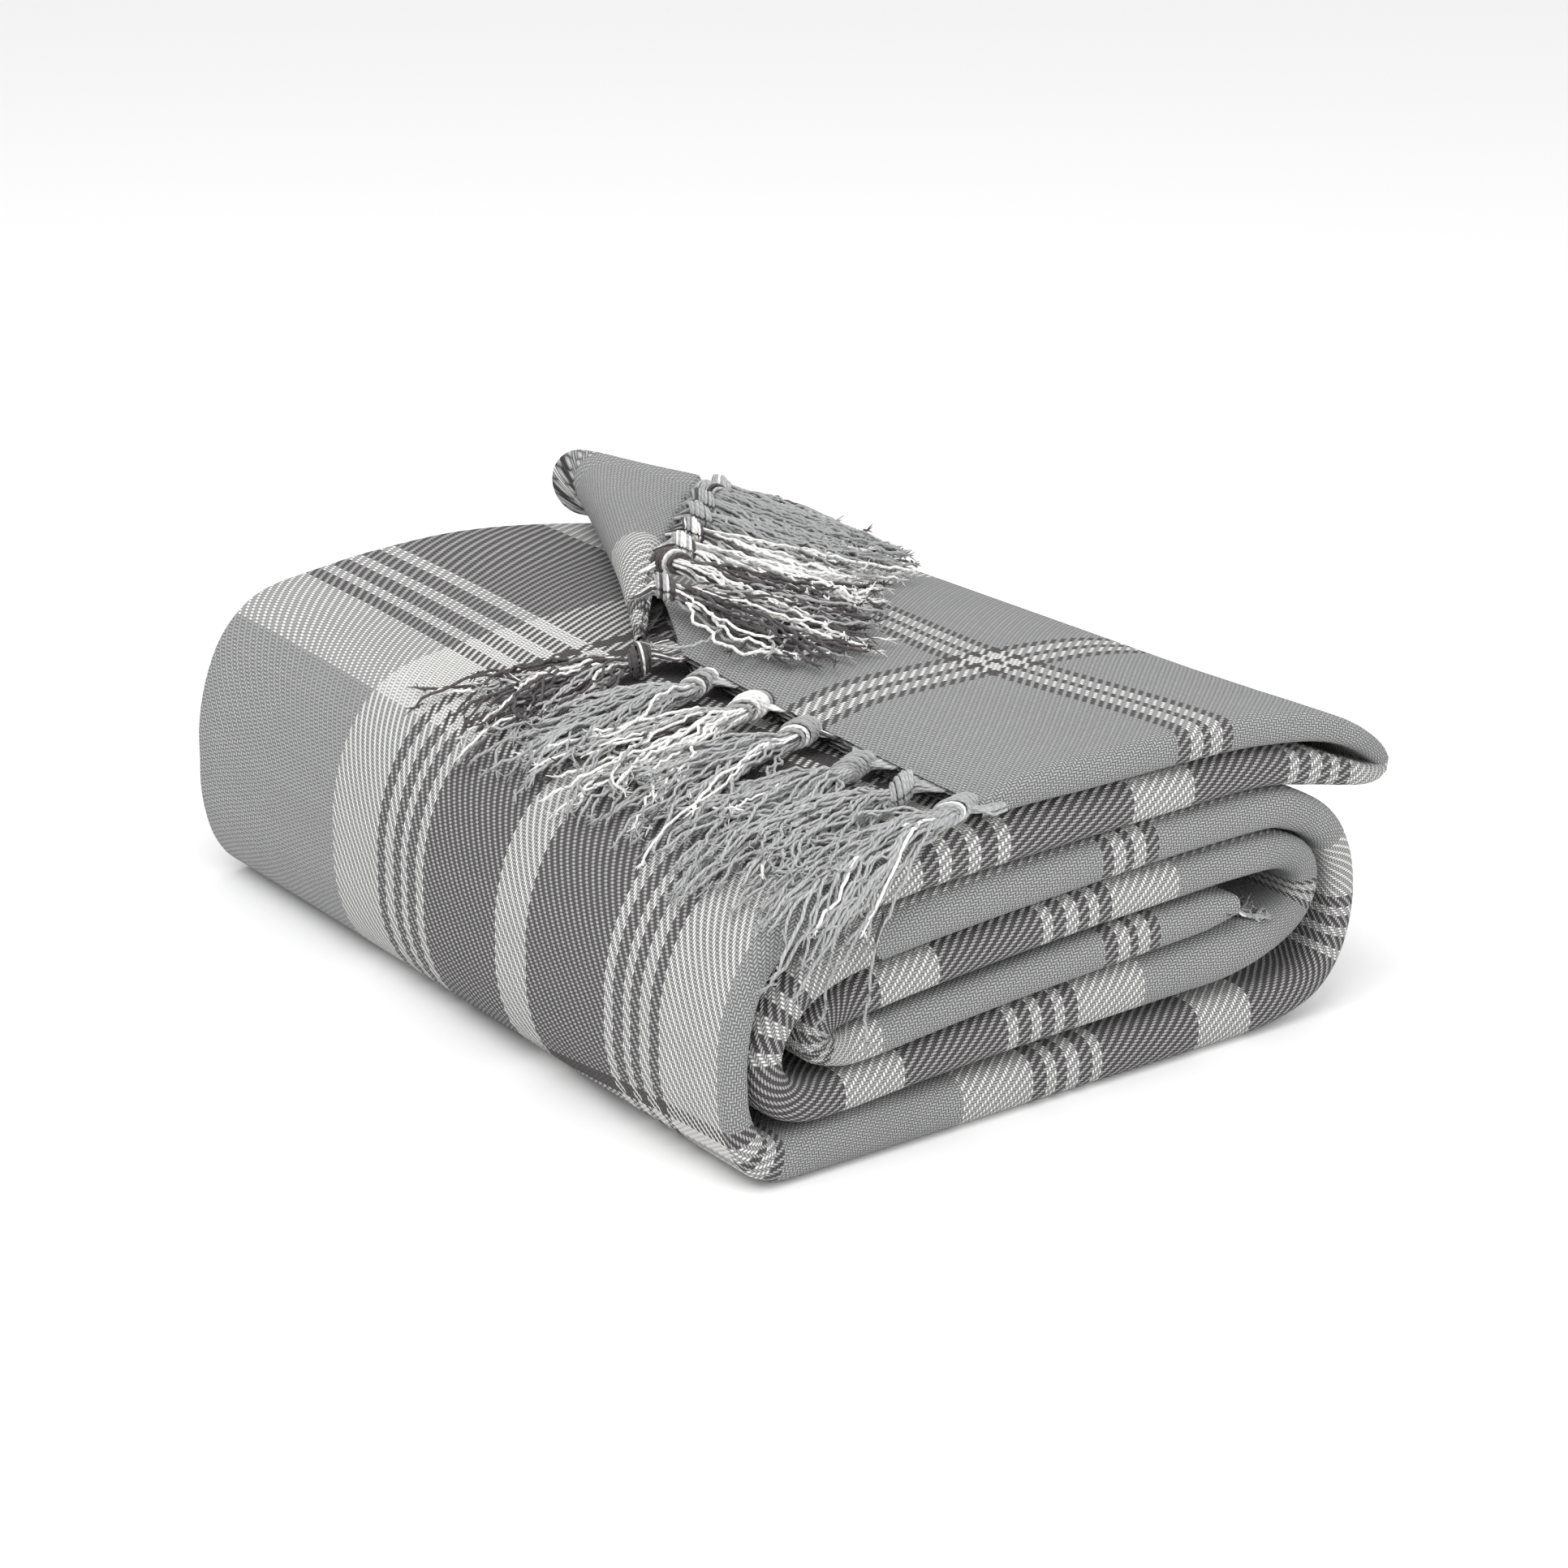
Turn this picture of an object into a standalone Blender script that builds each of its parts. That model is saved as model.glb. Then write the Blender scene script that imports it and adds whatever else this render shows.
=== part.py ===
# A throw blanket folded to a quarter of its width, rolled flat, with knotted fringes.
# Metres, +Z up. X runs along the end face, Y recedes along the long left face.
import math

import bmesh
import bpy
import numpy as np
from mathutils import Vector

MM = 0.001
WIDTH_FOLDED = 325.0          # a quarter of the 1300 mm wide throw, mm
GAP = 0.3                     # clear space kept between the ends of neighbouring pieces, mm
TIP_GAP = 0.8                 # the same at the two ends of the tip fold
FAR_RISE = 0.13               # the far end stands this much taller on the left side
TIP_PULL = 18.0               # the tip fold reaches this much further out at the near end, mm
LEFT_TAPER = 3.0              # the big left fold is this much further in at the far end, mm
SHIFT = (-0.10547, -0.15865, 0.0)   # puts the origin under the middle of the part

# Centre line of the four-ply strip, outer end first: x mm, z mm, half thickness mm.
FLAP = [(68, 100.6, 2.4), (76, 101.8, 4.0), (90, 103.0, 5.4), (117, 103.2, 6.0),
        (150, 103.5, 6.0), (177, 102.6, 5.8), (200, 99.3, 5.0), (214, 95.0, 4.2)]
TIP = [(224, 89.6, 3.6), (230.8, 83.8, 3.3), (231.4, 79.7, 3.2), (226, 78.4, 3.4)]
UPPER = [(214, 81.6, 4.6), (200, 85.6, 5.8), (177, 89.3, 6.8), (150, 89.4, 7.3),
         (117, 88.8, 7.6), (80, 87.8, 7.5), (50, 86.4, 7.4), (30, 84.4, 7.3)]
WRAP = [(12, 82.6, 6.8), (1.5, 79.6, 6.0), (-7.5, 73.0, 5.0), (-14, 62.5, 4.4),
        (-17.6, 50, 4.2), (-18.4, 37, 4.2), (-17.6, 25, 4.4), (-13, 14.0, 5.4),
        (-4, 8.2, 7.2)]
BASE = [(12, 7.9, 7.9), (40, 8.0, 8.1), (80, 8.1, 8.2), (117, 8.2, 8.3),
        (150, 8.2, 8.3), (177, 8.2, 8.3), (192, 9.0, 7.6)]
OUTER_LOOP = [(205, 12.6, 6.6), (213, 20.5, 6.0), (217, 31.5, 5.6), (217.6, 43, 5.6),
              (215.2, 54.5, 5.6), (208.8, 64.5, 6.0), (197, 71.8, 6.8)]
SECOND = [(183, 75.0, 7.4), (150, 74.8, 7.4), (117, 73.4, 7.4), (80, 71.6, 7.6),
          (50, 69.6, 7.7), (30, 67.4, 7.6)]
MIDDLE_LOOP = [(14, 63.6, 7.0), (3, 57.6, 6.6), (-5, 48.5, 6.4), (-7.5, 38, 6.2),
               (-3.5, 28.5, 6.2), (6, 23.6, 6.2)]
FIFTH = [(20, 23.2, 6.3), (50, 25.2, 7.3), (80, 27.0, 8.0), (117, 28.3, 8.6),
         (150, 29.4, 9.0), (172, 30.4, 9.0)]
INNER_LOOP = [(187, 33.4, 7.2), (197.5, 39.0, 6.2), (201.5, 47, 5.8), (199.5, 55, 5.8),
              (190, 60.0, 6.2)]
THIRD = [(172, 60.8, 6.5), (150, 60.2, 6.6), (117, 58.8, 6.6), (80, 56.6, 6.6),
         (50, 54.2, 6.5), (30, 52.0, 6.3)]
CORE_LOOP = [(19, 50.2, 5.8), (11.5, 46.6, 5.4), (10.5, 41.2, 5.4), (17, 37.6, 5.8)]
FOURTH = [(30, 37.4, 6.4), (50, 39.2, 6.8), (80, 41.8, 6.9), (117, 44.0, 6.9),
          (150, 45.6, 6.6), (162, 46.3, 6.0), (170, 46.7, 4.4)]

STRIP = [("flap_panel", FLAP, "weave_top"), ("tip_fold", TIP, "weave_top"),
         ("upper_layer", UPPER, "weave_plaid"), ("outer_wrap", WRAP, "weave_plaid"),
         ("base_layer", BASE, "weave_plaid"), ("right_outer_fold", OUTER_LOOP, "weave_plaid"),
         ("second_layer", SECOND, "weave_plaid"), ("left_middle_fold", MIDDLE_LOOP, "weave_plaid"),
         ("fifth_layer", FIFTH, "weave_plaid"), ("right_inner_fold", INNER_LOOP, "weave_plaid"),
         ("third_layer", THIRD, "weave_plaid"), ("left_inner_fold", CORE_LOOP, "weave_plaid"),
         ("fourth_layer", FOURTH, "weave_plaid")]

# The turned-back corner: a crease across the flap from its fringed edge to its far edge.
CREASE_A = (68.0, 178.0)
CREASE_B = (140.0, WIDTH_FOLDED)
CORNER_APEX = 150.0           # where along the crease the free corner lies
CORNER_REACH = 43.0           # how far the free corner lies from the crease
CORNER_HALF = 4.6             # half thickness of the turned-back cloth
CORNER_BEND = 5.6             # height of the crease's middle over the flap's middle
CREASE_CUT = 35.0             # the flap stops this far short of the crease, along y

CLEAR = 1.0                   # clear space aimed at between turns of the roll, mm
FINE_STEP = 3.0               # spacing used when clearances are worked out, mm
# Knots on the flap's fringed edge: y mm, start beyond the edge mm, sideways lean of the
# yarns mm, yarn material.
NEAR_TASSELS = [(4, 0, -6, "yarn_grey"), (28, 0, -3, "yarn_grey"), (52, 0, -2, "yarn_grey"),
                (78, 0, 2, "yarn_grey"), (103, 0, 5, "yarn_white"), (124, 2, 4, "yarn_grey"),
                (158, 15, 14, "yarn_dark")]
# Knots on the turned-back edge: distance along it mm, yarn material.
TURNED_TASSELS = [(9, "yarn_dark"), (29.6, "yarn_dark"), (50.2, "yarn_white"),
                  (70.8, "yarn_white"), (91.4, "yarn_grey"), (112, "yarn_grey"),
                  (132.6, "yarn_grey"), (153.2, "yarn_grey")]
TURNED_LEAN = (0.45, -0.89)
INNER_TASSELS = 13
# Along a tassel: distance mm, half width, half height. Neck, knot, waist, bundle, tip.
TASSEL = [(0, 2.0, 1.6), (3, 4.6, 3.8), (7, 5.0, 4.2), (11, 3.2, 2.9), (18, 5.6, 3.4),
          (34, 8.0, 3.6), (52, 9.4, 3.4), (62, 8.0, 2.6)]
SHORT_TASSEL = [(0, 1.8, 1.6), (2.5, 4.2, 3.4), (6, 4.4, 3.6), (8.5, 3.0, 2.6),
                (12, 6.0, 3.2), (15, 5.2, 2.4)]

MATERIALS = {"weave_plaid": (0.42, 0.41, 0.42), "weave_top": (0.46, 0.46, 0.47),
             "weave_corner": (0.55, 0.55, 0.55), "yarn_grey": (0.38, 0.38, 0.39),
             "yarn_dark": (0.13, 0.11, 0.12), "yarn_white": (0.82, 0.82, 0.78)}


def clear_scene():
    for obj in list(bpy.data.objects):
        bpy.data.objects.remove(obj, do_unlink=True)


def make_material(name):
    mat = bpy.data.materials.new(name)
    mat.use_nodes = True
    shader = mat.node_tree.nodes["Principled BSDF"]
    shader.inputs["Base Color"].default_value = (*MATERIALS[name], 1.0)
    shader.inputs["Roughness"].default_value = 0.95
    return mat


def smooth(a, b, t):
    t = min(max((t - a) / (b - a), 0.0), 1.0)
    return t * t * (3 - 2 * t)


def catmull(p0, p1, p2, p3, t):
    return 0.5 * (2 * p1 + (p2 - p0) * t + (2 * p0 - 5 * p1 + 4 * p2 - p3) * t * t
                  + (3 * p1 - p0 - 3 * p2 + p3) * t ** 3)


def sample_strip():
    """Centre line through every control point, with the segment each sample is in."""
    pts = np.array([p for _, seg, _ in STRIP for p in seg], float)
    owner = [i for i, (_, seg, _) in enumerate(STRIP) for _ in seg]
    ext = np.vstack([2 * pts[0] - pts[1], pts, 2 * pts[-1] - pts[-2]])
    out, tags = [], []
    for i in range(len(pts) - 1):
        length = np.linalg.norm(pts[i + 1][:2] - pts[i][:2])
        steps = max(2, int(round(length / FINE_STEP)))
        for k in range(steps):
            out.append(catmull(*ext[i:i + 4], k / steps))
            tags.append(owner[i] if k < steps / 2 else owner[i + 1])
    out.append(pts[-1])
    tags.append(owner[-1])
    return np.array(out), tags


def normals_of(path):
    """Unit normals, pointing to the outside of the roll on the outer wrap."""
    tangent = np.gradient(path[:, :2], axis=0)
    tangent /= np.linalg.norm(tangent, axis=1)[:, None]
    return np.stack([tangent[:, 1], -tangent[:, 0]], axis=1)


def place(x, y, z, tip=False):
    """From the strip's own millimetres to the part's metres."""
    far = smooth(0.0, WIDTH_FOLDED, y)
    rise = 1.0 + FAR_RISE * far * (1.0 - 1.25 * smooth(70, 220, x))
    pull = TIP_PULL * smooth(196, 232, x) * smooth(0, 90, y) if tip else 0.0
    taper = LEFT_TAPER * far * (1.0 - smooth(-31, 60, x))
    across = (x - pull + taper) * MM + SHIFT[0]
    return Vector((across, y * MM + SHIFT[1], max(z, 0.0) * rise * MM))


def slot_outline(y0, y1, half, corner_points=4):
    """A flat slot shape in (y, n) with both ends rounded, as the folds are."""
    pts = []
    r = half * 0.98
    for k in range(corner_points + 1):
        a = -math.pi / 2 + math.pi * k / corner_points
        pts.append((y1 - r + r * math.cos(a), half * math.sin(a)))
    for k in range(corner_points + 1):
        a = math.pi / 2 + math.pi * k / corner_points
        pts.append((y0 + r + r * math.cos(a), half * math.sin(a)))
    mid = 0.5 * (y0 + y1)
    near = min(70.0, 0.4 * y1)
    top = [(mid, half), (near, half)]
    low = [(near, -half), (mid, -half)]
    return pts[:corner_points + 1] + top + pts[corner_points + 1:] + low


# Faces that close the end of a slot shape, as places in slot_outline's list.
SLOT_CAP = [(0, 1, 2, 3, 4), (0, 4, 5, 13), (13, 5, 6, 12), (12, 6, 7, 11),
            (7, 8, 9, 10, 11)]


def loft(name, rings, material, cap=None):
    """One closed solid through rings that share a point count."""
    n = len(rings[0])
    verts = [tuple(p) for ring in rings for p in ring]
    faces = []
    for i in range(len(rings) - 1):
        for j in range(n):
            a, b = i * n + j, i * n + (j + 1) % n
            faces.append((a, b, b + n, a + n))
    base = (len(rings) - 1) * n
    if cap:
        for corners in cap:
            faces.append(tuple(reversed(corners)))
            faces.append(tuple(base + j for j in corners))
    else:
        first, last = len(verts), len(verts) + 1
        verts.append(tuple(sum((Vector(p) for p in rings[0]), Vector()) / n))
        verts.append(tuple(sum((Vector(p) for p in rings[-1]), Vector()) / n))
        for j in range(n):
            faces.append((first, (j + 1) % n, j))
            faces.append((last, base + j, base + (j + 1) % n))
    mesh = bpy.data.meshes.new(name)
    mesh.from_pydata(verts, [], faces)
    mesh.update()
    obj = bpy.data.objects.new(name, mesh)
    bpy.context.collection.objects.link(obj)
    obj.data.materials.append(bpy.data.materials[material])
    make_outward(obj)
    return obj


def make_outward(obj):
    bm = bmesh.new()
    bm.from_mesh(obj.data)
    bmesh.ops.recalc_face_normals(bm, faces=bm.faces)
    if bm.calc_volume(signed=True) < 0:
        bmesh.ops.reverse_faces(bm, faces=bm.faces)
    bm.to_mesh(obj.data)
    bm.free()


def crease_y(x):
    """Far limit of the flap panel where the corner is turned back."""
    t = (x - CREASE_A[0]) / (CREASE_B[0] - CREASE_A[0])
    return CREASE_A[1] + t * (CREASE_B[1] - CREASE_A[1])


def keep_clear(path, tags):
    """Trim the half thickness so that neighbouring turns of the roll never touch."""
    xy = path[:, :2]
    arc = np.concatenate([[0], np.cumsum(np.linalg.norm(np.diff(xy, axis=0), axis=1))])
    half = path[:, 2].copy()
    dist = np.linalg.norm(xy[:, None] - xy[None], axis=2)
    for _ in range(6):
        for i in range(len(xy)):
            for j in range(len(xy)):
                if abs(arc[i] - arc[j]) < 1.5 * (half[i] + half[j]):
                    continue
                over = half[i] + half[j] + CLEAR - dist[i, j]
                if over > 0:
                    half[i] -= over * 0.5
                    half[j] -= over * 0.5
    return half


def build_strip():
    path, tags = sample_strip()
    nrm = normals_of(path)
    half = keep_clear(path, tags)
    arc = np.concatenate([[0], np.cumsum(np.linalg.norm(np.diff(path[:, :2], axis=0), axis=1))])
    for index, (name, _, material) in enumerate(STRIP):
        members = [i for i, t in enumerate(tags) if t == index]
        begin = arc[members[0]]
        end = arc[min(members[-1] + 1, len(path) - 1)]
        end -= TIP_GAP if index < 2 else GAP if index + 1 < len(STRIP) else 0.0
        step = 5.0 if "fold" in name or "wrap" in name else 12.0
        stations = np.linspace(begin, end, max(3, int(round((end - begin) / step)) + 1))
        rings = []
        for s in stations:
            x, z = np.interp(s, arc, path[:, 0]), np.interp(s, arc, path[:, 1])
            nx, nz = np.interp(s, arc, nrm[:, 0]), np.interp(s, arc, nrm[:, 1])
            h = np.interp(s, arc, half)
            y1 = WIDTH_FOLDED
            if name == "flap_panel":
                y1 = min(y1, crease_y(x) - CREASE_CUT)
            tip = index < 3
            rings.append([place(x + nx * n, y, z + nz * n, tip)
                          for y, n in slot_outline(0.0, y1, h)])
        loft(name, rings, material, SLOT_CAP)
    return path, nrm, half, arc


def flap_height(x):
    xs = [p[0] for p in FLAP]
    return float(np.interp(x, xs, [p[1] for p in FLAP]))


def crease_frame():
    a, b = np.array(CREASE_A), np.array(CREASE_B)
    along = (b - a) / np.linalg.norm(b - a)
    across = np.array([along[1], -along[0]])
    return a, along, across, float(np.linalg.norm(b - a))


def corner_ring(w, reach):
    """Slice of the turned-back corner: a round bead at the crease and the flat cloth."""
    a, along, across, _ = crease_frame()
    radius = CORNER_BEND + CORNER_HALF
    under = 2 * CORNER_BEND - CORNER_HALF
    start = math.asin((under - CORNER_BEND) / radius)
    shape = []
    for k in range(10):
        ang = start - (2 * math.pi - (math.pi / 2 - start)) * k / 9
        shape.append((radius * math.cos(ang), CORNER_BEND + radius * math.sin(ang)))
    top = shape[-1][1]
    for f in (0.5, 1.0):
        shape.append((reach * f, top))
    shape.append((reach + 1.5, (top + under) / 2))
    shape.append((reach, under))
    ring = []
    for p, z in shape:
        foot = a + along * w + across * p
        ring.append(place(foot[0], foot[1], flap_height(foot[0]) + z))
    return ring


def build_corner():
    _, _, _, length = crease_frame()
    rings = []
    for w in np.linspace(26.0, length - 2.0, 12):
        reach = CORNER_REACH * (w / CORNER_APEX if w < CORNER_APEX
                                else (length - w) / (length - CORNER_APEX))
        rings.append(corner_ring(w, max(reach, 11.0)))
    loft("turned_back_corner", rings, "weave_corner")


def tassel(name, centre_line, side, profile, material):
    """A knot and its bundle of yarns, flattened where they lie on the cloth."""
    rings = []
    for k, (_, wide, high) in enumerate(profile):
        c = centre_line[k]
        nxt = centre_line[min(k + 1, len(profile) - 1)]
        prv = centre_line[max(k - 1, 0)]
        along = (nxt - prv).normalized()
        across = side[k] - along * side[k].dot(along)
        across.normalize()
        up = along.cross(across)
        ring = []
        for j in range(8):
            a = 2 * math.pi * j / 8
            ring.append(c + across * (math.cos(a) * wide * MM) + up * (math.sin(a) * high * MM))
        rings.append(ring)
    loft(name, rings, material)


def build_near_tassels(path, nrm, half, arc):
    """From the flap's fringed edge down over the upper layer and the left wrap."""
    upper = [i for i in range(len(path)) if arc[i] > 200 and path[i, 1] > 60]
    start = next(arc[i] for i in upper if path[i, 0] < 66.0)
    for number, (y, begin, lean, material) in enumerate(NEAR_TASSELS, 1):
        line, side = [], []
        for d, _, high in TASSEL:
            s = start + begin + d
            x, z = np.interp(s, arc, path[:, 0]), np.interp(s, arc, path[:, 1])
            nx, nz = np.interp(s, arc, nrm[:, 0]), np.interp(s, arc, nrm[:, 1])
            h = np.interp(s, arc, half) + 1.6 + max(high, 6.0 - 0.06 * d)
            yy = y + lean * (d / 62.0)
            line.append(place(x + nx * h, yy, z + nz * h))
            side.append(Vector((0, 1, 0)))
        tassel("fringe_near_%02d" % number, line, side, TASSEL, material)


def build_turned_tassels():
    a, along, across, _ = crease_frame()
    apex = a + along * CORNER_APEX + across * CORNER_REACH
    edge = (apex - a) / np.linalg.norm(apex - a)
    out = np.array([edge[1], -edge[0]])
    lean = np.array(TURNED_LEAN) / np.linalg.norm(TURNED_LEAN)
    profile = [(d, 0.85 * wide, high) for d, wide, high in TASSEL]
    for number, (t, material) in enumerate(TURNED_TASSELS, 1):
        line, side = [], []
        beyond = 5.0 + max(0.0, 12.0 - 0.275 * t)
        for d, _, high in profile:
            foot = a + edge * t + out * beyond + lean * d
            z = flap_height(foot[0]) + 7.0 + max(high, 6.5 - 0.05 * d)
            line.append(place(foot[0], foot[1], z, True))
            side.append(Vector((lean[1], -lean[0], 0)))
        tassel("fringe_turned_%02d" % number, line, side, profile, material)


def build_inner_tassels():
    x0, z0, _ = FOURTH[-1]
    for number in range(1, INNER_TASSELS + 1):
        y = 14.0 + (number - 1) * 24.6
        line = [place(x0 + 0.8 + d, y, z0 + 0.4 - 0.10 * d) for d, _, _ in SHORT_TASSEL]
        side = [Vector((0, 1, 0))] * len(line)
        tassel("fringe_inner_%02d" % number, line, side, SHORT_TASSEL, "yarn_grey")


def main():
    clear_scene()
    for name in MATERIALS:
        make_material(name)
    path, nrm, half, arc = build_strip()
    build_corner()
    build_near_tassels(path, nrm, half, arc)
    build_turned_tassels()
    build_inner_tassels()


main()
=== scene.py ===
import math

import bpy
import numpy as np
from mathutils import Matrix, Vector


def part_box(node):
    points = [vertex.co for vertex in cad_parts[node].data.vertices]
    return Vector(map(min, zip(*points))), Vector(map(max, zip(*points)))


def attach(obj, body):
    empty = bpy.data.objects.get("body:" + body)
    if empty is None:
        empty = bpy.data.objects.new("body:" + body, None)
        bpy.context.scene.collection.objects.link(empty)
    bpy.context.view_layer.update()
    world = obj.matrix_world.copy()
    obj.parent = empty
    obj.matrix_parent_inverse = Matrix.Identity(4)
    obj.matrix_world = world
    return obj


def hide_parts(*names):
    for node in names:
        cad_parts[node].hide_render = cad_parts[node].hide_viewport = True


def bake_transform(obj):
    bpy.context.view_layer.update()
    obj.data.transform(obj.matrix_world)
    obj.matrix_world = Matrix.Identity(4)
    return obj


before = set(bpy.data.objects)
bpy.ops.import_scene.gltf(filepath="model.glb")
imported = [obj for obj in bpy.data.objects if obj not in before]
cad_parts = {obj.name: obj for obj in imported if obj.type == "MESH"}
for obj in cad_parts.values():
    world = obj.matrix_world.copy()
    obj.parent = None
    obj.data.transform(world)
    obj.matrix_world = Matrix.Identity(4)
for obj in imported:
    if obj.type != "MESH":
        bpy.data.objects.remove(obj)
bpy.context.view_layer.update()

# %% [markdown]
# A throw blanket is one large woven cloth with a knotted fringe at both ends. Folding it does
# not change the cloth, so the whole look can be worked out from one idea: take flat cloth
# coordinates, fold them across the width, and sweep that folded strip along the roll.
# Every point then knows its place on the flat cloth, and the plaid and the weave follow from it.
# The folds, the flap and the outer wrap also get small given shifts, named further down.

MM = 0.001
SEED = 7

QUARTER = 325.0               # the throw is folded to a quarter of its width, mm
FAR_RISE = 0.13               # the far end of the stack stands this much taller
TIP_PULL = 20.0               # the tip fold reaches this much further out at the near corner
LEFT_TAPER = 3.0              # the big left fold is this much further in at the far end
BASE_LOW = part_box("base_layer")[0]
SHIFT_Y = BASE_LOW.y / MM     # the near end of the cloth, mm
SHIFT_X = -105.47             # the strip's own zero, mm

# %% [markdown]
# The roll is a flat spiral. Its centre line starts at the fringed edge of the top flap, turns
# under at the sharp tip, goes round the big left fold and on inwards to the inner fringe.
# Each control point is x, z and half the thickness of the four plies, in millimetres.

# %% Centre line of the folded strip
STRIP = [
    ("flap_panel", [(68, 100.6, 2.4), (76, 101.8, 4.0), (90, 103.0, 5.4), (117, 103.2, 6.0),
                    (150, 103.5, 6.0), (177, 102.6, 5.8), (200, 99.3, 5.0), (214, 95.0, 4.2)]),
    ("tip_fold", [(224, 89.6, 3.6), (230.8, 83.8, 3.3), (231.4, 79.7, 3.2), (226, 78.4, 3.4)]),
    ("upper_layer", [(214, 81.6, 4.6), (200, 85.6, 5.8), (177, 89.3, 6.8), (150, 89.4, 7.3),
                     (117, 88.8, 7.6), (80, 87.8, 7.5), (50, 86.4, 7.4), (30, 84.4, 7.3)]),
    ("outer_wrap", [(12, 82.6, 6.8), (1.5, 79.6, 6.0), (-7.5, 73.0, 5.0), (-14, 62.5, 4.4),
                    (-17.6, 50, 4.2), (-18.4, 37, 4.2), (-17.6, 25, 4.4), (-13, 14.0, 5.4),
                    (-4, 8.2, 7.2)]),
    ("base_layer", [(12, 7.9, 7.9), (40, 8.0, 8.1), (80, 8.1, 8.2), (117, 8.2, 8.3),
                    (150, 8.2, 8.3), (177, 8.2, 8.3), (192, 9.0, 7.6)]),
    ("right_outer_fold", [(205, 12.6, 6.6), (213, 20.5, 6.0), (217, 31.5, 5.6),
                          (217.6, 43, 5.6), (215.2, 54.5, 5.6), (208.8, 64.5, 6.0),
                          (197, 71.8, 6.8)]),
    ("second_layer", [(183, 75.0, 7.4), (150, 74.8, 7.4), (117, 73.4, 7.4), (80, 71.6, 7.6),
                      (50, 69.6, 7.7), (30, 67.4, 7.6)]),
    ("left_middle_fold", [(14, 63.6, 7.0), (3, 57.6, 6.6), (-5, 48.5, 6.4), (-7.5, 38, 6.2),
                          (-3.5, 28.5, 6.2), (6, 23.6, 6.2)]),
    ("fifth_layer", [(20, 23.2, 6.3), (50, 25.2, 7.3), (80, 27.0, 8.0), (117, 28.3, 8.6),
                     (150, 29.4, 9.0), (172, 30.4, 9.0)]),
    ("right_inner_fold", [(187, 33.4, 7.2), (197.5, 39.0, 6.2), (201.5, 47, 5.8),
                          (199.5, 55, 5.8), (190, 60.0, 6.2)]),
    ("third_layer", [(172, 60.8, 6.5), (150, 60.2, 6.6), (117, 58.8, 6.6), (80, 56.6, 6.6),
                     (50, 54.2, 6.5), (30, 52.0, 6.3)]),
    ("left_inner_fold", [(19, 50.2, 5.8), (11.5, 46.6, 5.4), (10.5, 41.2, 5.4),
                         (17, 37.6, 5.8)]),
    ("fourth_layer", [(30, 37.4, 6.4), (50, 39.2, 6.8), (80, 41.8, 6.9), (117, 44.0, 6.9),
                      (150, 45.6, 6.6), (162, 46.3, 6.0), (172, 46.8, 3.2)])]
# Extra cloth counted at each fold, mm. These are set so that the bands land in the
# right places on the end face. The two inner folds get more than their bend could hold, so
# the weave is drawn too narrow there: this corrects the layout, and isn't a measured length.
TAKE_UP = {"tip_fold": 23.5, "outer_wrap": 6.0, "base_layer": -1.0, "right_outer_fold": 18.5,
           "left_middle_fold": 7.0, "right_inner_fold": 55.0, "left_inner_fold": 43.0}


def catmull(p0, p1, p2, p3, t):
    return 0.5 * (2 * p1 + (p2 - p0) * t + (2 * p0 - 5 * p1 + 4 * p2 - p3) * t * t
                  + (3 * p1 - p0 - 3 * p2 + p3) * t ** 3)


def trace_strip(spacing=2.0):
    """Fine samples of the centre line, and the segment each one lies in."""
    points = np.array([p for _, seg in STRIP for p in seg], float)
    owner = [i for i, (_, seg) in enumerate(STRIP) for _ in seg]
    ext = np.vstack([2 * points[0] - points[1], points, 2 * points[-1] - points[-2]])
    out, tags = [], []
    for i in range(len(points) - 1):
        length = np.linalg.norm(points[i + 1][:2] - points[i][:2])
        steps = max(3, int(round(length / spacing)))
        for k in range(steps):
            out.append(catmull(*ext[i:i + 4], k / steps))
            tags.append(owner[i] if k < steps / 2 else owner[i + 1])
    out.append(points[-1])
    tags.append(owner[-1])
    return np.array(out), np.array(tags)


PATH, TAGS = trace_strip()
ARC = np.concatenate([[0], np.cumsum(np.linalg.norm(np.diff(PATH[:, :2], axis=0), axis=1))])


def keep_clear(path, arc, clear=1.0):
    """Trim the half thickness where turns of the roll would touch."""
    half = path[:, 2].copy()
    gap = np.linalg.norm(path[:, None, :2] - path[None, :, :2], axis=2)
    along = np.abs(arc[:, None] - arc[None])
    for _ in range(8):
        both = half[:, None] + half[None]
        over = np.where(along < 1.5 * both, 0.0, both + clear - gap)
        half -= 0.5 * np.clip(over.max(axis=1), 0.0, None)
    return half


HALF = keep_clear(PATH, ARC)
TANGENT = np.gradient(PATH[:, :2], axis=0)
TANGENT /= np.linalg.norm(TANGENT, axis=1)[:, None]
NORMAL = np.stack([TANGENT[:, 1], -TANGENT[:, 0]], axis=1)
SPAN = {name: (ARC[TAGS == i][0], ARC[min(np.flatnonzero(TAGS == i)[-1] + 1, len(ARC) - 1)])
        for i, (name, _) in enumerate(STRIP)}
print("strip centre line", round(float(ARC[-1])), "mm")


def ease(a, b, t):
    t = np.clip((t - a) / (b - a), 0.0, 1.0)
    return t * t * (3 - 2 * t)


def cloth_length(s):
    """Distance along the flat cloth at a point of the centre line, mm."""
    out = np.array(s, float)
    for name, extra in TAKE_UP.items():
        out = out + extra * ease(*SPAN[name], s)
    return out


def strip_xz(s):
    return (np.interp(s, ARC, PATH[:, 0]), np.interp(s, ARC, PATH[:, 1]),
            np.interp(s, ARC, NORMAL[:, 0]), np.interp(s, ARC, NORMAL[:, 1]),
            np.interp(s, ARC, HALF))


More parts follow.
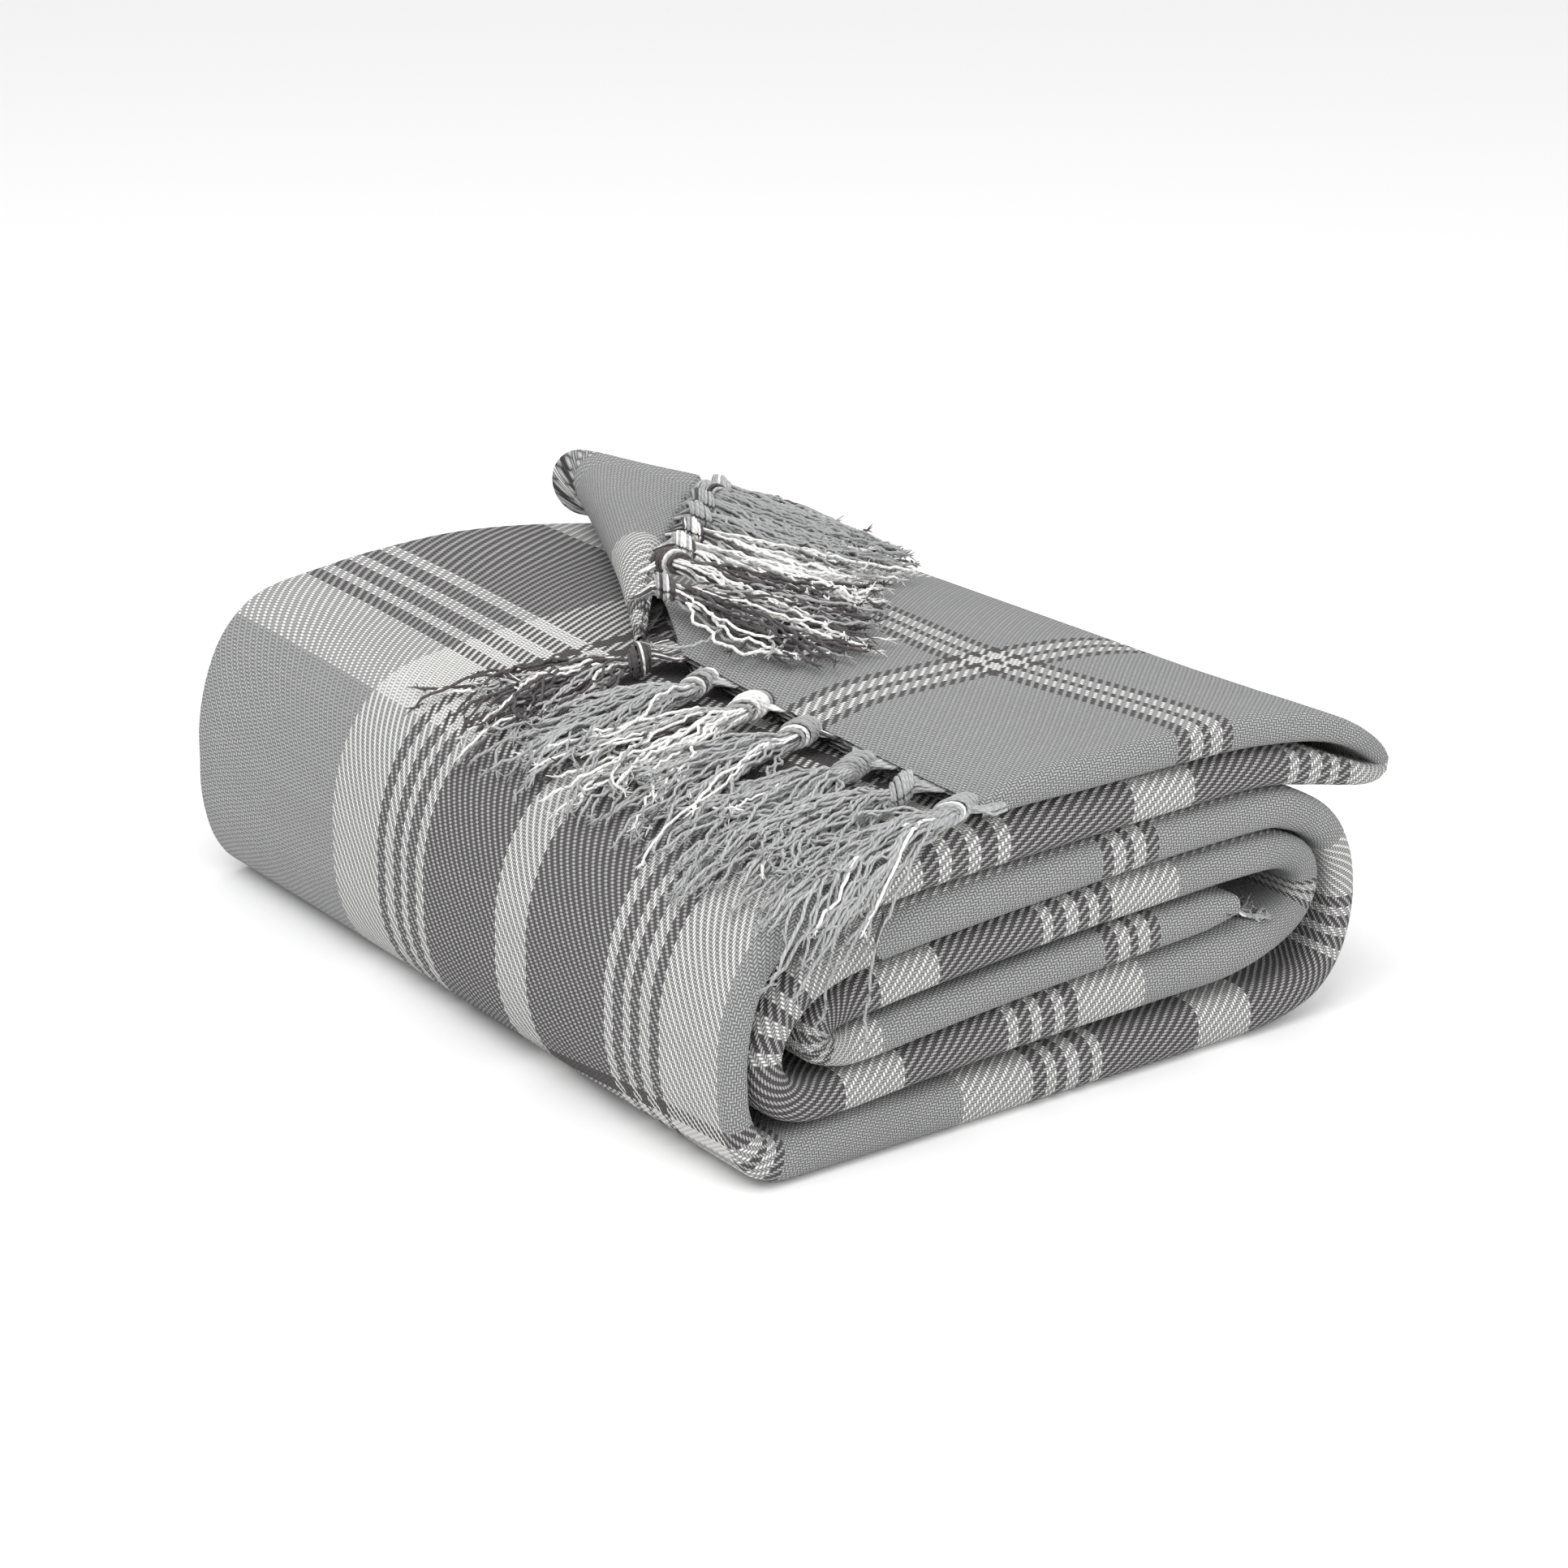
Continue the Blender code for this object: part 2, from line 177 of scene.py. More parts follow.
def place(x, y, z, tip=0.0):
    """From the strip's own millimetres to the frame's metres."""
    rise = 1.0 + FAR_RISE * ease(0.0, QUARTER, y) * (1.0 - 1.25 * ease(70, 220, x))
    pull = TIP_PULL * ease(196, 232, x) * ease(0, 90, y) * tip
    taper = LEFT_TAPER * ease(0.0, QUARTER, y) * (1.0 - ease(-31, 60, x))
    return np.stack([(x - pull + taper + SHIFT_X) * MM, (y + SHIFT_Y) * MM,
                     np.maximum(z, 0.0) * rise * MM], axis=-1)


# %% [markdown]
# The camera stands to the left of the near corner and looks down a little, with a long lens
# so that the sides hardly converge.

# %% Camera
IMAGE = 1932
CAMERA_AT = (-581.98 + SHIFT_X, -793.72 + SHIFT_Y, 478.0)
CAMERA_PITCH = 19.8
CAMERA_TURN = 36.1
CAMERA_FOCAL = 4638.0         # in image widths of 1932


def add_camera():
    data = bpy.data.cameras.new("camera")
    data.sensor_width = 36.0
    data.lens = CAMERA_FOCAL / IMAGE * data.sensor_width
    data.clip_end = 20.0
    camera = bpy.data.objects.new("camera", data)
    bpy.context.collection.objects.link(camera)
    camera.location = Vector(CAMERA_AT) * MM
    camera.rotation_euler = (math.radians(90 - CAMERA_PITCH), 0.0, math.radians(-CAMERA_TURN))
    bpy.context.scene.camera = camera


add_camera()

# %% [markdown]
# The cloth is a 2/2 twill in three yarn colours. Which yarn is on top at a point depends only on
# the warp and weft number there, so the material counts yarns from the flat cloth coordinates.
# The warp stripes and the weft stripes are the same plaid, so one mirrored list of bands serves.

# %% The plaid
YARNS = {"grey": (0.445, 0.447, 0.450), "white": (0.97, 0.965, 0.94),
         "dark": (0.098, 0.086, 0.090)}
WARP_PITCH = 0.78
WEFT_PITCH = 1.0
# From the middle of the broad group out to the middle of the thin check line: end mm, yarn.
WARP_BANDS = [(8.5, "white"), (52.5, "dark"), (57.2, "white"), (61.9, "dark"), (66.6, "white"),
              (71.3, "dark"), (76.0, "white"), (80.7, "dark"), (110.5, "white"),
              (199.5, "grey"), (203.9, "dark"), (208.3, "white"), (210.5, "dark")]
WEFT_BANDS = [(10.5, "white"), (49.5, "dark"), (54.0, "white"), (58.5, "dark"), (63.0, "white"),
              (67.5, "dark"), (72.0, "white"), (76.5, "dark"), (103.5, "white"),
              (189.5, "grey"), (193.9, "dark"), (198.3, "white"), (200.5, "dark")]
WARP_CENTRE = 205.5           # where a broad group lies across the cloth, mm
WEFT_CENTRE = 87.4 + 200.5    # where a broad group lies along the cloth, mm
# The next five are given adjustments, to bring the bands to where they should lie.
FOLD_DRIFT = 3.0              # the width folds wander this far towards the outer end
SELVEDGE_EASE = 14.0          # the plaid stops short of its next line at the selvedge
FLAP_SKEW = 16.0              # the top flap lies this much askew away from its near edge
WRAP_SHIFT = -20.0            # the outer wrap is pulled round by this much
WRAP_SKEW = -20.0             # and more so away from its near edge


class Graph:
    """Small helper that strings shader nodes together."""

    def __init__(self, material):
        material.use_nodes = True
        self.tree = material.node_tree
        self.shader = self.tree.nodes["Principled BSDF"]

    def node(self, kind, **settings):
        made = self.tree.nodes.new(kind)
        for key, value in settings.items():
            setattr(made, key, value)
        return made

    def put(self, socket, value):
        if isinstance(value, bpy.types.NodeSocket):
            self.tree.links.new(value, socket)
        else:
            socket.default_value = value

    def math(self, operation, a, b=0.0, c=0.0, clamp=False):
        made = self.node("ShaderNodeMath", operation=operation, use_clamp=clamp)
        for socket, value in zip(made.inputs, (a, b, c)):
            self.put(socket, value)
        return made.outputs[0]

    def mix(self, factor, a, b, blend="MIX"):
        made = self.node("ShaderNodeMix", data_type="RGBA", blend_type=blend)
        self.put(made.inputs[0], factor)
        self.put(made.inputs[6], a)
        self.put(made.inputs[7], b)
        return made.outputs[2]

    def noise(self, vector, scale, detail=2.0):
        made = self.node("ShaderNodeTexNoise")
        made.inputs["Scale"].default_value = scale
        made.inputs["Detail"].default_value = detail
        self.put(made.inputs["Vector"], vector)
        return made.outputs["Fac"]

    def bands(self, place_mm, bands):
        """A mirrored, repeating stripe pattern as a colour."""
        half = bands[-1][0]
        folded = self.math("DIVIDE", self.math("PINGPONG", place_mm, half), half)
        ramp = self.node("ShaderNodeValToRGB")
        stops = ramp.color_ramp
        stops.interpolation = "CONSTANT"
        start = 0.0
        for index, (end, yarn) in enumerate(bands):
            stop = stops.elements[0] if index == 0 else stops.elements.new(start)
            stop.position = start
            stop.color = (*YARNS[yarn], 1.0)
            start = end / half
        if len(stops.elements) > len(bands):
            stops.elements.remove(stops.elements[-1])
        self.put(ramp.inputs[0], folded)
        return ramp.outputs[0]


def yarn_counts(graph, place_mm, pitch):
    """Yarn number, place across that yarn from 0 to 1, and the yarn's own middle in mm."""
    scaled = graph.math("DIVIDE", place_mm, pitch)
    number = graph.math("FLOOR", scaled)
    across = graph.math("FRACT", scaled)
    middle = graph.math("MULTIPLY", graph.math("ADD", number, 0.5), pitch)
    return number, across, middle


def crown(graph, across, along):
    """Height of a yarn that floats over two others: round across, arched along."""
    side = graph.math("POWER", graph.math("SINE", graph.math("MULTIPLY", across, math.pi)), 0.7)
    arch = graph.math("SINE", graph.math("MULTIPLY", along, math.pi))
    return graph.math("MULTIPLY", side, graph.math("MULTIPLY_ADD", arch, 0.6, 0.4))


def weave_material(name):
    material = bpy.data.materials.new(name)
    g = Graph(material)
    place_on_cloth = g.node("ShaderNodeAttribute", attribute_name="cloth")
    split = g.node("ShaderNodeSeparateXYZ")
    g.put(split.inputs[0], place_on_cloth.outputs["Vector"])
    wander = g.noise(place_on_cloth.outputs["Vector"], 160.0)
    wander = g.math("MULTIPLY", g.math("SUBTRACT", wander, 0.5), 0.5)
    along = g.math("MULTIPLY_ADD", split.outputs[0], 1000.0, wander)
    across = g.math("MULTIPLY_ADD", split.outputs[1], 1000.0, wander)
    warp, warp_side, warp_mid = yarn_counts(g, across, WARP_PITCH)
    weft, weft_side, weft_mid = yarn_counts(g, along, WEFT_PITCH)
    phase = g.math("FLOORED_MODULO", g.math("SUBTRACT", warp, weft), 4.0)
    warp_up = g.math("LESS_THAN", phase, 1.5)
    warp_run = g.math("MULTIPLY", g.math("ADD", g.math("SUBTRACT", 1.0, phase), weft_side), 0.5)
    weft_run = g.math("MULTIPLY", g.math("ADD", g.math("SUBTRACT", phase, 2.0), warp_side), 0.5)
    warp_high = crown(g, warp_side, warp_run)
    weft_high = g.math("MULTIPLY", crown(g, weft_side, weft_run), 0.85)
    height = g.math("ADD", g.math("MULTIPLY", warp_high, warp_up),
                    g.math("MULTIPLY", weft_high, g.math("SUBTRACT", 1.0, warp_up)))
    warp_colour = g.bands(g.math("SUBTRACT", warp_mid, WARP_CENTRE), WARP_BANDS)
    weft_colour = g.bands(g.math("SUBTRACT", weft_mid, WEFT_CENTRE), WEFT_BANDS)
    colour = g.mix(warp_up, weft_colour, warp_colour)
    tone = g.node("ShaderNodeTexWhiteNoise", noise_dimensions="2D")
    pair = g.node("ShaderNodeCombineXYZ")
    g.put(pair.inputs[0], g.math("MULTIPLY", warp, warp_up))
    g.put(pair.inputs[1], g.math("MULTIPLY", weft, g.math("SUBTRACT", 1.0, warp_up)))
    g.put(tone.inputs["Vector"], pair.outputs[0])
    cloudy = g.noise(place_on_cloth.outputs["Vector"], 22.0, 3.0)
    # Painted shade: the yarn colour is darkened where the floats dip into the pits between yarns,
    # then varied by random per-yarn and cloudy tone.
    shade = g.math("MULTIPLY_ADD", g.math("POWER", height, 1.0), 1.05, 0.13)
    shade = g.math("MULTIPLY", shade, g.math("MULTIPLY_ADD", tone.outputs[0], 0.10, 0.95))
    shade = g.math("MULTIPLY", shade, g.math("MULTIPLY_ADD", cloudy, 0.10, 0.95))
    grey = g.node("ShaderNodeCombineColor")
    for socket in grey.inputs[:3]:
        g.put(socket, shade)
    colour = g.mix(1.0, colour, grey.outputs[0], "MULTIPLY")
    g.put(g.shader.inputs["Base Color"], colour)
    g.shader.inputs["Roughness"].default_value = 0.92
    g.shader.inputs["Specular IOR Level"].default_value = 0.18
    g.shader.inputs["Sheen Weight"].default_value = 0.12
    g.shader.inputs["Sheen Roughness"].default_value = 0.5
    bump = g.node("ShaderNodeBump")
    bump.inputs["Strength"].default_value = 0.85
    bump.inputs["Distance"].default_value = 0.0009
    g.put(bump.inputs["Height"], height)
    g.put(g.shader.inputs["Normal"], bump.outputs[0])
    return material


def yarn_material():
    """Plied yarn: the twist shows as slanted ridges along each strand, with painted shade in the
    grooves between them.
    """
    material = bpy.data.materials.new("plied_yarn")
    g = Graph(material)
    tone = g.node("ShaderNodeAttribute", attribute_name="yarn_tone")
    run = g.node("ShaderNodeAttribute", attribute_name="yarn_run")
    split = g.node("ShaderNodeSeparateXYZ")
    g.put(split.inputs[0], run.outputs["Vector"])
    ply = g.math("ADD", g.math("MULTIPLY", split.outputs[0], 1000.0 / 2.6),
                 g.math("MULTIPLY", split.outputs[1], 2.0))
    ridge = g.math("ABSOLUTE", g.math("SINE", g.math("MULTIPLY", ply, math.pi)))
    # Painted shade: the yarn colour is darkened in the grooves between the twisted plies.
    shade = g.math("MULTIPLY_ADD", g.math("POWER", ridge, 0.6), 0.42, 0.62)
    grey = g.node("ShaderNodeCombineColor")
    for socket in grey.inputs[:3]:
        g.put(socket, shade)
    g.put(g.shader.inputs["Base Color"], g.mix(1.0, tone.outputs["Color"], grey.outputs[0],
                                               "MULTIPLY"))
    g.shader.inputs["Roughness"].default_value = 0.9
    g.shader.inputs["Specular IOR Level"].default_value = 0.18
    g.shader.inputs["Sheen Weight"].default_value = 0.15
    bump = g.node("ShaderNodeBump")
    bump.inputs["Strength"].default_value = 0.6
    bump.inputs["Distance"].default_value = 0.0003
    g.put(bump.inputs["Height"], ridge)
    g.put(g.shader.inputs["Normal"], bump.outputs[0])
    return material


PLAID = weave_material("plaid_twill")
YARN = yarn_material()

# %% [markdown]
# Folded in half twice, the strip has four plies. The outer two, A and B, share the plump near
# fold; the inner two, D and C, share a tighter fold inside it, and B and C share the far fold.
# The free selvedges of A and D end at the far side. One closed walk round that section, repeated
# at every station of the roll, is the cloth itself, so nothing has to be faked at the edges.

# %% The folded section
NEAR_FOLD_SQUARENESS = 2.5
PLY_POINTS = 40               # along each outer ply
FRONT_POINTS = 13             # round the near fold


def arc_points(count):
    """Rounded front of a fold, from +1 to -1 in n, as (depth, n)."""
    angle = np.linspace(0.0, math.pi, count)
    power = 2.0 / NEAR_FOLD_SQUARENESS
    return (np.sign(np.sin(angle)) * np.abs(np.sin(angle)) ** power,
            np.sign(np.cos(angle)) * np.abs(np.cos(angle)) ** power)


def section(half, far):
    """(y, n) round the four plies; half and far are arrays over the stations."""
    h = np.asarray(half)[:, None]
    f = np.asarray(far)[:, None]
    depth, across = arc_points(FRONT_POINTS)
    small = np.linspace(0, math.pi, 8)
    parts_y, parts_n = [], []

    def add(y, n):
        parts_y.append(np.broadcast_to(y, (len(h), y.shape[1])))
        parts_n.append(np.broadcast_to(n, (len(h), n.shape[1])))

    t = np.linspace(0, 1, PLY_POINTS)[None]
    add((f - 3.0) * (1 - t) + h * t, h + 0 * t)
    add(h - h * depth[None, 1:], h * across[None, 1:])
    add(h * (1 - t[:, 1:]) + (f - h / 3) * t[:, 1:], -h + 0 * t[:, 1:])
    add(f - h / 3 + h / 3 * np.sin(small)[None, 1:],
        -h * 2 / 3 - h / 3 * np.cos(small)[None, 1:])
    inner = np.linspace(0, 1, 14)[None, 1:]
    add((f - h / 3) * (1 - inner) + 1.7 * h * inner, -h / 3 + 0 * inner)
    add(1.7 * h - h / 3 * np.sin(small)[None, 1:], -h / 3 * np.cos(small)[None, 1:])
    add(1.7 * h * (1 - inner) + (f - 5.0) * inner, h / 3 + 0 * inner)
    return np.hstack(parts_y), np.hstack(parts_n)


def walk_lengths(y, n):
    """Distance across the flat cloth for each point of each section, mm."""
    steps = np.hypot(np.diff(y, axis=1), np.diff(n, axis=1))
    v = np.concatenate([np.zeros((len(y), 1)), np.cumsum(steps, axis=1)], axis=1)
    middle = (PLY_POINTS - 1) + FRONT_POINTS // 2
    return v - v[:, middle:middle + 1] + QUARTER


WALK = walk_lengths(*section([7.0], [QUARTER]))[0]
print("cloth width round the section", round(float(WALK[-1] - WALK[0])), "mm")


def cloth_coordinates(s, v, y):
    """Flat cloth place in metres: along the throw, across it."""
    drift = FOLD_DRIFT * (1 - ease(0, 300, s))
    skew = FLAP_SKEW * ease(0, 110, y) * (1 - ease(*SPAN["tip_fold"], s))
    top, low = SPAN["upper_layer"], SPAN["outer_wrap"][1]
    on_the_wrap = ease(top[0] + 60, top[1] + 10, s) - ease(low - 8, low + 60, s)
    skew = skew + (WRAP_SHIFT + WRAP_SKEW * ease(0, 200, y)) * on_the_wrap
    v = v + drift
    v = v + SELVEDGE_EASE * (1 - ease(-10, 60, v))
    return np.stack([(cloth_length(s) + skew) * MM, v * MM, 0 * s], axis=-1)


def grid_mesh(name, points, cloth, material=PLAID, closed=False):
    """A sheet from a grid of points, with the flat cloth place stored on each vertex."""
    rows, cols = points.shape[:2]
    faces = []
    for i in range(rows - 1):
        for j in range(cols - 1):
            a = i * cols + j
            faces.append((a, a + 1, a + 1 + cols, a + cols))
    mesh = bpy.data.meshes.new(name)
    mesh.from_pydata(points.reshape(-1, 3).tolist(), [], faces)
    mesh.update()
    store = mesh.attributes.new("cloth", "FLOAT_VECTOR", "POINT")
    store.data.foreach_set("vector", cloth.reshape(-1, 3).astype(np.float32).ravel())
    mesh.polygons.foreach_set("use_smooth", [True] * len(faces))
    mesh.materials.append(material)
    made = bpy.data.objects.new(name, mesh)
    bpy.context.collection.objects.link(made)
    return made


# %% [markdown]
# The corner of the flap is turned back over a slanted crease, so the flap stops at that crease
# and the corner goes on from it, upside down. Mirroring a point in the crease gives its place on
# the flat cloth, which is why the plaid runs off at an angle there.

# %% Crease of the turned-back corner
CREASE_A = np.array([68.0, 178.0])
CREASE_B = np.array([140.0, QUARTER])
CREASE_LENGTH = float(np.linalg.norm(CREASE_B - CREASE_A))
CREASE_ALONG = (CREASE_B - CREASE_A) / CREASE_LENGTH
CREASE_ACROSS = np.array([CREASE_ALONG[1], -CREASE_ALONG[0]])
FLAP_EDGE = STRIP[0][1][0][0]
BEAD = 10.2                   # outer radius of the bend at the crease
BEAD_UP = 5.6                 # the bend's middle stands this far over the flap's middle
BEAD_IN = 9.0                 # and this far in from the crease line
CORNER_UNDER = 6.6            # underside of the turned cloth over the flap's middle
CORNER_APEX = 150.0           # where along the crease the free corner lies
CORNER_REACH = 43.0           # and how far it lies from the crease


def crease_y(x):
    t = (x - CREASE_A[0]) / (CREASE_B[0] - CREASE_A[0])
    return CREASE_A[1] + t * (CREASE_B[1] - CREASE_A[1])


def far_limit(name, s):
    x = strip_xz(s)[0]
    limit = np.full(len(s), QUARTER)
    if name == "flap_panel":
        limit = np.minimum(limit, crease_y(x) - 26.0)
    return limit


# %% The strip, one piece for each stretch
def strip_piece(index, name):
    begin, end = SPAN[name]
    folded = "fold" in name or "wrap" in name
    count = max(8, int(round((end - begin) / (2.2 if folded else 4.0))))
    s = np.linspace(begin, end, count)
    x, z, nx, nz, half = strip_xz(s)
    y, n = section(half, far_limit(name, s))
    tip = 1.0 if index < 3 else 0.0
    points = place(x[:, None] + nx[:, None] * n, y, z[:, None] + nz[:, None] * n, tip)
    cloth = cloth_coordinates(np.broadcast_to(s[:, None], y.shape), walk_lengths(y, n), y)
    return grid_mesh("cloth_" + name, points, cloth)


PIECES = {}
for INDEX, (NAME, _) in enumerate(STRIP):
    PIECES[NAME] = strip_piece(INDEX, NAME)
    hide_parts(NAME)
    if NAME != "flap_panel":
        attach(PIECES[NAME], "stack")

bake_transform(PIECES["flap_panel"])

# %% The turned-back corner
CORNER_FLAP_X = [p[0] for p in STRIP[0][1]]
CORNER_FLAP_Z = [p[1] for p in STRIP[0][1]]


def flap_height(x):
    return np.interp(x, CORNER_FLAP_X, CORNER_FLAP_Z)


def corner_reach(w):
    """How far the turned cloth reaches from its crease: to the fringed edge or the far edge."""
    to_edge = CORNER_REACH * w / CORNER_APEX
    to_far = CORNER_REACH * (CREASE_LENGTH - w) / (CREASE_LENGTH - CORNER_APEX)
    return np.minimum(to_edge, to_far)


def corner_piece():
    w = np.linspace(2.0, CREASE_LENGTH - 1.0, 84)
    reach = np.maximum(corner_reach(w), 1.5)
    bead = np.linspace(-math.pi / 2 + 0.75, -1.5 * math.pi, 26)
    rows_p, rows_z, rows_f = [], [], []
    for place_w, r in zip(w, reach):
        fade = 0.20 + 0.82 * float(ease(0, 44, place_w)) + 0.13 * float(ease(80, 160, place_w))
        size = BEAD * fade
        top = BEAD_UP - BEAD + 2 * size
        inward = min(BEAD_IN * fade, r * 0.9)
        p = list(inward + size * np.cos(bead))
        z = list(BEAD_UP - BEAD + size + size * np.sin(bead))
        f = list(inward - size * (bead + 1.5 * math.pi))
        flat = np.linspace(0, 1, 22)[1:]
        p += list(inward + (r - inward) * flat)
        z += list(top - 1.2 * flat ** 2)
        f += list(inward + (r - inward) * flat)
        edge = np.linspace(math.pi / 2, -math.pi / 2, 8)[1:]
        under = min(CORNER_UNDER, top - 4.0)
        mid, thick = (top - 1.2 + under) / 2, (top - 1.2 - under) / 2
        p += list(r + 1.6 * np.cos(edge))
        z += list(mid + thick * np.sin(edge))
        f += list(r + 1.6 * np.cos(edge))
        back = np.linspace(1, 0, 16)[1:]
        p += list(inward + (r - inward) * back)
        z += list(under + 0 * back)
        f += list(r * back)
        rows_p.append(p)
        rows_z.append(z)
        rows_f.append(f)
    p, z, f = (np.array(a) for a in (rows_p, rows_z, rows_f))
    ww = np.broadcast_to(w[:, None], p.shape)
    foot = CREASE_A + CREASE_ALONG * ww[..., None] + CREASE_ACROSS * p[..., None]
    flat = CREASE_A + CREASE_ALONG * ww[..., None] - CREASE_ACROSS * f[..., None]
    points = place(foot[..., 0], foot[..., 1], flap_height(foot[..., 0]) + z)
    s = np.clip(flat[..., 0] - FLAP_EDGE, 0, None)
    v = QUARTER - 5.0 - flat[..., 1]
    v = np.where(v < 12.0, 12.0 + 0.45 * (v - 12.0), v)
    v = v + SELVEDGE_EASE * (1 - ease(-10, 60, v))
    cloth = np.stack([s * MM, v * MM, 0 * s], axis=-1)
    return grid_mesh("cloth_turned_back_corner", points, cloth)


CORNER = corner_piece()
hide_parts("turned_back_corner")
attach(CORNER, "corner")

# %% [markdown]
# Each tassel is a bundle of plied yarns: the warp ends leave the cloth, are gathered into a
# knot, and hang free below it. Modelling every yarn as a thin tube is the honest way, because
# the loose, crinkled ends are what the eye reads as a fringe.

# %% Tubes for yarns
YARN_RADIUS = 0.52
SIDES = 6


def tube_arrays(path, radius, offset):
    """Vertices, faces and (length, turn) of a round tube along a path in mm."""
    tangent = np.gradient(path, axis=0)
    tangent /= np.linalg.norm(tangent, axis=1)[:, None] + 1e-9
    side = np.cross(tangent, np.array([0.13, 0.09, 0.987]))
    side /= np.linalg.norm(side, axis=1)[:, None] + 1e-9
    other = np.cross(tangent, side)
    turn = np.linspace(0, 2 * math.pi, SIDES, endpoint=False)
    ring = side[:, None] * np.cos(turn)[None, :, None] + other[:, None] * np.sin(turn)[None, :, None]
    verts = path[:, None] + ring * radius[:, None, None]
    length = np.concatenate([[0], np.cumsum(np.linalg.norm(np.diff(path, axis=0), axis=1))])
    run_uv = np.stack(np.broadcast_arrays(length[:, None] * MM, turn[None] / (2 * math.pi),
                                          0.0), axis=-1)
    a = (np.arange(len(path) - 1)[:, None] * SIDES + np.arange(SIDES)[None]).ravel()
    b = (np.arange(len(path) - 1)[:, None] * SIDES + (np.arange(SIDES)[None] + 1) % SIDES).ravel()
    faces = np.stack([a, b, b + SIDES, a + SIDES], axis=1) + offset
    return verts.reshape(-1, 3), faces, run_uv.reshape(-1, 3)


def yarn_mesh(name, tubes):
    """One object from many tubes: each is (path mm, radius mm, colour)."""
    verts, faces, runs, tones = [], [], [], []
    offset = 0
    for path, radius, tone in tubes:
        v, f, r = tube_arrays(np.asarray(path, float), np.asarray(radius, float), offset)
        offset += len(v)
        verts.append(v)
        faces.append(f)
        runs.append(r)
        tones.append(np.tile([*tone, 1.0], (len(v), 1)))
    verts = np.vstack(verts) * MM
    faces = np.vstack(faces)
    mesh = bpy.data.meshes.new(name)
    mesh.from_pydata(verts.tolist(), [], faces.tolist())
    mesh.update()
    mesh.polygons.foreach_set("use_smooth", [True] * len(faces))
    store = mesh.attributes.new("yarn_run", "FLOAT_VECTOR", "POINT")
    store.data.foreach_set("vector", np.vstack(runs).astype(np.float32).ravel())
    store = mesh.attributes.new("yarn_tone", "FLOAT_COLOR", "POINT")
    store.data.foreach_set("color", np.vstack(tones).astype(np.float32).ravel())
    mesh.materials.append(YARN)
    made = bpy.data.objects.new(name, mesh)
    bpy.context.collection.objects.link(made)
    return made


# %% One tassel from a mapping (down, across, up) to frame millimetres
MIXES = {"yarn_grey": ("grey", 0.92, "white", 0.95, "dark"),
         "yarn_white": ("white", 0.52, "grey", 0.84, "dark"),
         "yarn_dark": ("dark", 0.62, "grey", 0.85, "white")}


def pick_tone(rng, mix):
    first, share, second, upto, third = MIXES[mix]
    roll = rng.random()
    name = first if roll < share else second if roll < upto else third
    return np.array(YARNS[name]) * rng.uniform(0.88, 1.08)


def wander(rng, d, size):
    """Kinks left in the yarn by the weave, as a change of heading along its length."""
    wave = np.zeros_like(d)
    for low, high, share in ((22, 40, 0.7), (9, 16, 1.0), (5.0, 7.5, 0.7)):
        wave += share * np.sin(2 * math.pi * d / rng.uniform(low, high) + rng.uniform(0, 6.3))
    return size * wave


def tassel_tubes(rng, mix, where, length, knot_at, spread, pile, count=60, edge=11.0,
                 side_by_side=0.0):
    """Yarns and knot of one tassel; `where(d, across, up)` places a point in the frame."""
    tubes = []
    knot_at = knot_at + rng.uniform(-1.3, 1.3)
    for number in range(count):
        tone = pick_tone(rng, mix)
        kink = rng.uniform(0.14, 0.42)
        angle = rng.uniform(0, 2 * math.pi)
        out = math.sqrt(rng.uniform(0.02, 1.0))
        a, b = out * math.cos(angle), out * math.sin(angle)
        end = length * (rng.uniform(0.62, 1.0) + 0.08 * rng.random())
        d = np.linspace(0.0, end, 34)
        gather = 1 - ease(side_by_side, knot_at - 2, d)
        loose = ease(knot_at + 2, knot_at + 16, d)
        curl = rng.normal(0, 0.022) * np.clip(d - 0.5 * length, 0, None)
        heading = (a * spread / length * 2.6 * (1 - 0.8 * ease(0.3, 1.0, d / length))
                   + wander(rng, d, kink) + curl + rng.normal(0, 0.24)) * loose
        step = np.gradient(d)
        drift = np.cumsum(np.sin(heading) * step)
        down = d - np.cumsum((1 - np.cos(heading)) * step)
        across = a * (edge * gather + 2.5 * (1 - gather)) + drift
        open_up = ease(knot_at + 1, length * 0.35, d)
        lift = (3.0 + 2.3 * b) * (1 - gather) * (1 - open_up) + 1.2 * gather
        sink = 1 - 0.55 * ease(0.35, 1.0, d / length)
        lift = lift + (0.6 + pile * (0.5 + 0.5 * b) * sink) * open_up
        lift = lift + np.abs(wander(rng, d, 0.55)) * open_up
        path = where(down, across, lift)
        radius = np.full(len(d), YARN_RADIUS * rng.uniform(0.85, 1.12))
        radius[-1] = 0.25
        tubes.append((path, radius, tone))
        tubes.extend(frayed_end(rng, path, tone))
    tubes.extend(knot_tubes(rng, mix, where, knot_at))
    return tubes


def frayed_end(rng, path, tone):
    """The last few millimetres untwist into thinner fibres."""
    tip = path[-1]
    ahead = path[-1] - path[-3]
    ahead /= np.linalg.norm(ahead) + 1e-9
    fibres = []
    for _ in range(4):
        away = ahead + rng.normal(0, 0.5, 3)
        t = np.linspace(-0.6, 1.0, 5)[:, None]
        bend = rng.normal(0, 0.6, 3)
        fibre = tip + away * t * rng.uniform(1.2, 2.6) + bend * t ** 2
        fibres.append((fibre, np.array([0.34, 0.32, 0.28, 0.22, 0.1]), tone))
    return fibres


